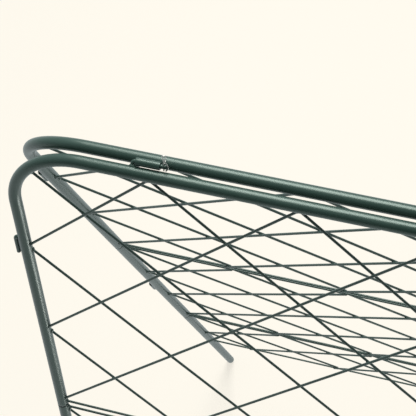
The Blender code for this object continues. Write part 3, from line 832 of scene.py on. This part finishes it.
def drill(piece, spot, way, radius):
    """Cuts a round hole through a finished piece: a rod along way, through spot, is taken out of it."""
    run = np.asarray(spot) + np.linspace(-DRILL_REACH, DRILL_REACH, 3)[:, None] * way
    points, faces = rod(run, np.cross(way, (1.0, 0.0, 0.0)), radius, HOLE_SIDES, DRILL_CUT)
    mesh = bpy.data.meshes.new("drill")
    mesh.from_pydata(points.tolist(), [], faces)
    cutter = bpy.data.objects.new("drill", mesh)
    bpy.context.scene.collection.objects.link(cutter)
    cut = piece.modifiers.new("hole", "BOOLEAN")
    cut.operation, cut.solver, cut.object = "DIFFERENCE", "EXACT", cutter
    bpy.context.view_layer.update()
    cut_piece = piece.evaluated_get(bpy.context.evaluated_depsgraph_get())
    drilled = bpy.data.meshes.new_from_object(cut_piece)
    piece.modifiers.clear()
    piece.data = drilled
    bpy.data.objects.remove(cutter)
    drilled.shade_smooth()
    drilled.set_sharp_from_angle(angle=SHARP_ANGLE)


for side in SIDES:
    bend_x = -SLEEVE_END - PIN_PLAY
    turn = np.linspace(0.0, np.pi / 2, BEND_STATIONS)
    stem = np.linspace(BAR_DISTANCE - TUBE_RADIUS, PIN_BEND, STEM_STATIONS)[:-1]
    straight = np.linspace(bend_x, SLEEVE_END + PIN_FREE_END, PIN_STATIONS)[1:]
    stem_x = np.full(len(stem), bend_x - PIN_BEND)
    x = np.concatenate([stem_x, bend_x - PIN_BEND * np.cos(turn), straight]) - HINGE_X
    drop = np.concatenate([stem, PIN_BEND * (1 - np.sin(turn)), np.zeros(len(straight))])
    path = np.stack([x, np.zeros(len(x)), np.zeros(len(x))], axis=-1) + drop[:, None] * TO_BAR
    points, faces = rod(path, -FROM_BAR, PIN_RADIUS, PIN_SIDES, PIN_CUT)
    slid = points[:, 0] + HINGE_X > bend_x + RUB_START
    tip = np.clip((points[:, 0] + HINGE_X - SLEEVE_END) / PIN_FREE_END, 0.0, 1.0)
    rub_and_shade = np.where(slid, PIN_RUB + PIN_TIP_RUB * tip**3, 0.0)
    shells = [(points, faces, rub_and_shade, 0.0)]
    name = f"{side}_bent_pin"
    pin = new_piece(name, shells, tube_paint, side, "top", f"{side}_hinge_pin")
    spot = into_place(np.array([HOLE_X - HINGE_X, 0.0, 0.0]), side)
    way = into_place(CLIP_UP, side) - into_place(np.zeros(3), side)
    drill(pin, spot, way, CLIP_WIRE + TOUCH_GAP)
    foot = path[0] + PIN_WELD_LIFT * TO_BAR
    shells = [lump(foot, *PIN_WELD, 1.3 + SIDES[side])]
    new_piece(f"{side}_pin_weld", shells, tube_paint, side, "top", None)


# The R clips: 1.6 mm zinc-plated spring wire. The straight leg goes through the pin's hole, a loop
# above it is the spring, and the waved leg snaps round the pin's tip and keeps the sleeve on.
CLIP_LOOP_RADIUS = 0.0023
CLIP_LOOP_HEIGHT = 0.0148
CLIP_WAVE_REACH = 0.0066
CLIP_TAIL = 0.0062
CLIP_NECK = 0.0044
CLIP_NECK_ANGLE = math.radians(66)
CLIP_BELLY_ROOM = 0.0010
CLIP_SIDES = 20
CLIP_STATIONS = 320
CLIP_CUT = 0.0002
CLIP_LEG_POINTS = 60
CLIP_BEND_POINTS = 80
BELL_POINTS = 13
BELL_REACH = 2.2
RINGS_IN_LENGTH = 40.0
SPRING_ZINC = (0.60, 0.585, 0.545, 1.0)
SPRING_SHADE = (0.36, 0.35, 0.33, 1.0)
ZINC_CLOUD_SCALE = 300.0
ZINC_CLOUD_EDGE = (0.35, 0.75)
LINES_ROUND = 9.0
LINES_ALONG = 0.7
LINE_SCALE = 3.0
LINE_DEPTH = 0.00003


def zinc_wire(name):
    """Zinc plate on drawn wire: bright, with fine lines along it and faint grey clouds."""
    zinc = Finish(name, Metallic=1.0)
    cloud = zinc.noise(ZINC_CLOUD_SCALE, 3.0).ramp(*ZINC_CLOUD_EDGE)
    around = zinc.mark("around") * LINES_ROUND
    length = zinc.mark("length") * LINES_ALONG
    place = zinc.node("ShaderNodeCombineXYZ", {}, {"X": around, "Y": length, "Z": 0.0})
    lines = zinc.noise(LINE_SCALE, 4.0, place)
    zinc.feed("Base Color", zinc.mix(cloud * 0.55, SPRING_ZINC, SPRING_SHADE))
    zinc.feed("Roughness", 0.20 + lines * 0.14 + cloud * 0.10)
    zinc.feed("Normal", zinc.bump(lines, LINE_DEPTH, 0.35))
    return zinc.material


spring_zinc = zinc_wire("zinc_spring_wire")


def clip_wave(height):
    """How far the waved leg stands off the straight one: a cosine bump from the pinch to the belly."""
    pinch = 2 * CLIP_WIRE + TOUCH_GAP
    belly = PIN_FREE_END / 2 + CLIP_WIRE + TOUCH_GAP + CLIP_BELLY_ROOM
    share = np.minimum(np.abs(height) / CLIP_WAVE_REACH, 1.0)
    return pinch + (belly - pinch) * np.sqrt((1.0 + np.cos(np.pi * share)) / 2.0)


def clip_line():
    """The clip's flat line as (x, height): up the straight leg, round the loop and down the wave."""
    neck = CLIP_LOOP_HEIGHT - CLIP_NECK
    rise = np.linspace(-CLIP_TAIL, neck, CLIP_LEG_POINTS)
    straight = np.stack([np.zeros(CLIP_LEG_POINTS), rise], axis=-1)
    share = np.linspace(0.0, 1.0, CLIP_BEND_POINTS)
    turn = -(np.pi + CLIP_NECK_ANGLE) / 2 + share * (CLIP_NECK_ANGLE - 2 * np.pi)
    middle = np.array([clip_wave(CLIP_LOOP_HEIGHT) / 2, CLIP_LOOP_HEIGHT])
    loop = middle + CLIP_LOOP_RADIUS * np.stack([np.cos(turn), np.sin(turn)], axis=-1)
    height = np.linspace(neck, -CLIP_TAIL, CLIP_BEND_POINTS)
    wave = np.stack([clip_wave(height), height], axis=-1)
    return np.concatenate([straight, loop, wave])


def softened(line):
    """The line at even steps, with its sharp turns rounded off by a bell-shaped average."""
    reach = np.concatenate([[0.0], np.cumsum(np.linalg.norm(np.diff(line, axis=0), axis=1))])
    even = np.linspace(0.0, reach[-1], CLIP_STATIONS)
    line = np.stack([np.interp(even, reach, line[:, i]) for i in range(2)], axis=-1)
    bell = np.exp(-(np.linspace(-BELL_REACH, BELL_REACH, BELL_POINTS) ** 2))
    spare = BELL_POINTS // 2
    padded = np.pad(line, ((spare, spare), (0, 0)), mode="reflect", reflect_type="odd")
    return np.stack([np.convolve(padded[:, i], bell / bell.sum(), "valid") for i in range(2)], axis=-1)


for side in SIDES:
    line = softened(clip_line())
    hole = np.array([HOLE_X - HINGE_X, 0.0, 0.0])
    path = hole + line[:, :1] * (1.0, 0.0, 0.0) + line[:, 1:] * CLIP_UP
    points, faces = rod(path, np.cross((1.0, 0.0, 0.0), CLIP_UP), CLIP_WIRE, CLIP_SIDES, CLIP_CUT)
    shells = [(points, faces, 0.0, 0.0)]
    name = f"{side}_spring_clip"
    clip = new_piece(name, shells, spring_zinc, side, "top", f"{side}_clip")

    # The drawing lines need to know how far round and along the wire each point is.
    rings = (len(points) - 2) // CLIP_SIDES
    round_wire = np.sin(np.arange(CLIP_SIDES) * np.pi / (CLIP_SIDES / 2))
    around = np.append(np.tile(round_wire, rings), [0.0, 0.0])
    ring_length = np.arange(rings) / RINGS_IN_LENGTH
    length = np.append(np.repeat(ring_length, CLIP_SIDES), [0.0, rings / RINGS_IN_LENGTH])
    for mark, values in (("around", around), ("length", length)):
        layer = clip.data.attributes.new(mark, "FLOAT", "POINT")
        layer.data.foreach_set("value", values.astype(np.float32))


# The side hooks: 5.5 mm rod welded square to the left leg and bent down. They hang in the side sleeves
# of a like trellis that stands beside this one. The upper one is on the hoop and the lower one on the
# middle section, each at its depth below the bar.
HOOK_LENGTH = 0.034
HOOK_BEND = 0.0038
SIDE_OFFSET = 0.0126
HOOK_RADIUS = 0.00275
HOOK_SIDES = 36
DROP_STATIONS = 24
HOOK_CUT = 0.0006
HOOK_RUB = 0.18
HOOK_TIP_RUB = 0.24
HOOK_WELD = (0.0017, 0.0035, 0.0036)
HOOK_WELD_SINK = 0.0001
SIDE_FITTINGS = (("upper", "top", 0.1865), ("lower", "middle", 0.872))

for side in SIDES:
    for level, section, depth in SIDE_FITTINGS:
        arm_z = HOOK_LENGTH / 2 - HOOK_RADIUS
        turn = np.linspace(0.0, np.pi / 2, BEND_STATIONS)
        arm_x = -np.linspace(TUBE_RADIUS - WELD_SINK, SIDE_OFFSET - HOOK_BEND, STEM_STATIONS)[:-1]
        bend_x = -(SIDE_OFFSET - HOOK_BEND) - HOOK_BEND * np.sin(turn)
        bend_z = arm_z - HOOK_BEND + HOOK_BEND * np.cos(turn)
        drop_z = np.linspace(arm_z - HOOK_BEND, -HOOK_LENGTH / 2, DROP_STATIONS)[1:]
        x = np.concatenate([arm_x, bend_x, np.full(len(drop_z), -SIDE_OFFSET)]) - HALF_WIDTH
        z = np.concatenate([np.full(len(arm_x), arm_z), bend_z, drop_z]) + BAR_Z - depth
        path = np.stack([x, np.full(len(x), PLANE_Y), z], axis=-1)
        points, faces = rod(path, (0.0, 1.0, 0.0), HOOK_RADIUS, HOOK_SIDES, HOOK_CUT)
        low = np.clip((arm_z + BAR_Z - depth - points[:, 2]) / HOOK_LENGTH, 0.0, 1.0)
        rub_and_shade = HOOK_RUB + HOOK_TIP_RUB * low**2
        root = (-HALF_WIDTH - TUBE_RADIUS + HOOK_WELD_SINK, PLANE_Y, arm_z + BAR_Z - depth)
        shells = [(points, faces, rub_and_shade, 0.0), lump(root, *HOOK_WELD, depth * 9.0)]
        name = f"{side}_{level}_side_hook"
        new_piece(name, shells, tube_paint, side, section, f"{side}_{level}_hook")


# The side sleeves: 8.6 mm tubes of 0.8 mm wall, open at both ends, welded by two long beads to the
# right leg at the hooks' heights. Their bores are left dark and bare.
SIDE_SLEEVE_RADIUS = 0.0043
SIDE_SLEEVE_BORE = 0.0035
SIDE_SLEEVE_LENGTH = 0.030
BEAD_IN = 0.0041
BEAD_OUT = 0.0022
BEAD_RADIUS = 0.0013
BEAD_REACH = 0.0110
BEAD_TIP = 0.0117
BEAD_RIPPLE = 0.06
BEAD_RIPPLE_TURNS = 3400.0
BEAD_STATIONS = 40
BEAD_SIDES = 14

for side in SIDES:
    for level, section, depth in SIDE_FITTINGS:
        top = HOOK_LENGTH / 2 - 2 * HOOK_RADIUS - TOUCH_GAP
        middle_z = BAR_Z - depth + top - SIDE_SLEEVE_LENGTH / 2
        middle = np.array([HALF_WIDTH + SIDE_OFFSET, PLANE_Y, middle_z])
        outline = sleeve_outline(SIDE_SLEEVE_RADIUS, SIDE_SLEEVE_BORE, SIDE_SLEEVE_LENGTH)
        points, faces = skin(turn_outline(outline, SLEEVE_SIDES) + middle, looped=True)
        rub_and_shade, inside = sleeve_marks(outline, SIDE_SLEEVE_BORE, SIDE_SLEEVE_LENGTH)
        shells = [(points, faces, np.repeat(rub_and_shade, SLEEVE_SIDES), np.repeat(inside, SLEEVE_SIDES))]
        for face in (-1.0, 1.0):
            steps = np.linspace(-BEAD_REACH, BEAD_REACH, BEAD_STATIONS)
            ripple = 1.0 + BEAD_RIPPLE * np.sin(steps * BEAD_RIPPLE_TURNS + face)
            width = BEAD_RADIUS * ripple * (1 - (steps / BEAD_TIP) ** 6) ** 0.5
            rings = turn_outline(np.stack([width, steps], axis=-1), BEAD_SIDES)
            shells.append((*skin(rings + middle + (-BEAD_IN, face * BEAD_OUT, 0.0)), 0.0, 0.0))
        name = f"{side}_{level}_side_sleeve"
        new_piece(name, shells, tube_paint, side, section, f"{side}_{level}_sleeve")
